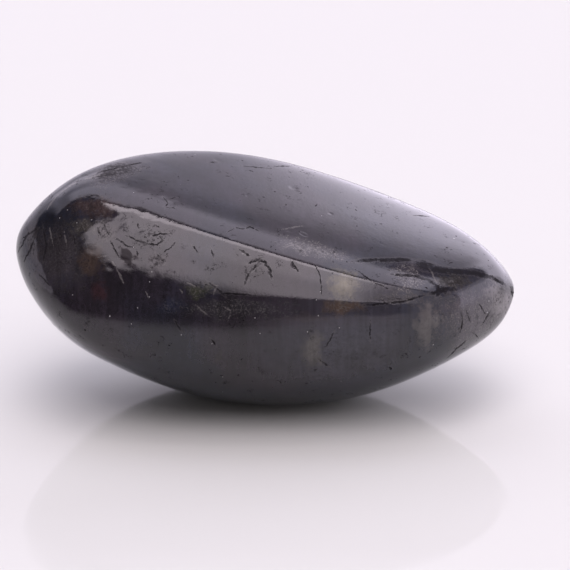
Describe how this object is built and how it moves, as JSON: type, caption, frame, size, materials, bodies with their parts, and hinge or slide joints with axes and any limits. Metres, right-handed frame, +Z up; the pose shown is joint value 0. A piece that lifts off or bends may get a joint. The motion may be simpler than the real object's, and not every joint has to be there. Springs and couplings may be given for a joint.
{
  "type": "tumbled spectrolite",
  "caption": "Tumbled pebble of dark polished feldspar, long and wedge shaped, with a broad worn face, rounded edges and small plucked hollows, lying on a small flat spot.",
  "frame": {"origin": "middle of the bounding box's underside, at the level of the flat spot the stone rests on", "axes": "+X along the stone, towards its narrower end; -Y out of the broad polished front face; +Z up, away from the spot it rests on"},
  "size_m": [0.045, 0.0254, 0.0211],
  "materials": {
    "stone": "tumbled polish, dark grey feldspar"
  },
  "bodies": {
    "root": {"stone": "stone"}
  },
  "joints": []
}
